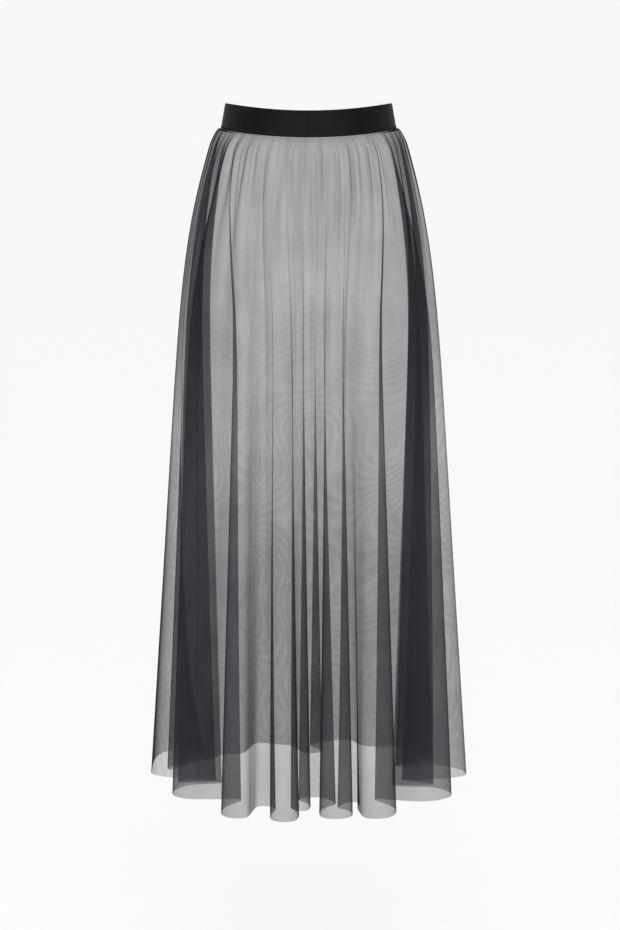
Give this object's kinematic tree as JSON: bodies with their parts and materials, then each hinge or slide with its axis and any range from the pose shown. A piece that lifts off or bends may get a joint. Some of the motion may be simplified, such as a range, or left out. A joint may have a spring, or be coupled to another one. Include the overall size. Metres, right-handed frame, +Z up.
{
  "type": "tulle skirt",
  "caption": "Long sheer gathered net skirt with a wide plain elastic waistband, flaring to a raw hem that falls in deep soft folds, open at waist and hem.",
  "frame": {"origin": "centre of the waist, at half the height of the elastic band, where the wearer's waist holds the skirt", "axes": "+Z up along the body, -Y towards the front of the skirt, +X to the right of somebody looking at the front"},
  "size_m": [0.4567, 0.4302, 0.9751],
  "materials": {
    "elastic": "matt black ribbed elastic",
    "tulle": "sheer black net"
  },
  "bodies": {
    "root": {"waistband": "elastic", "front_panel": "tulle", "back_panel": "tulle"}
  },
  "joints": []
}
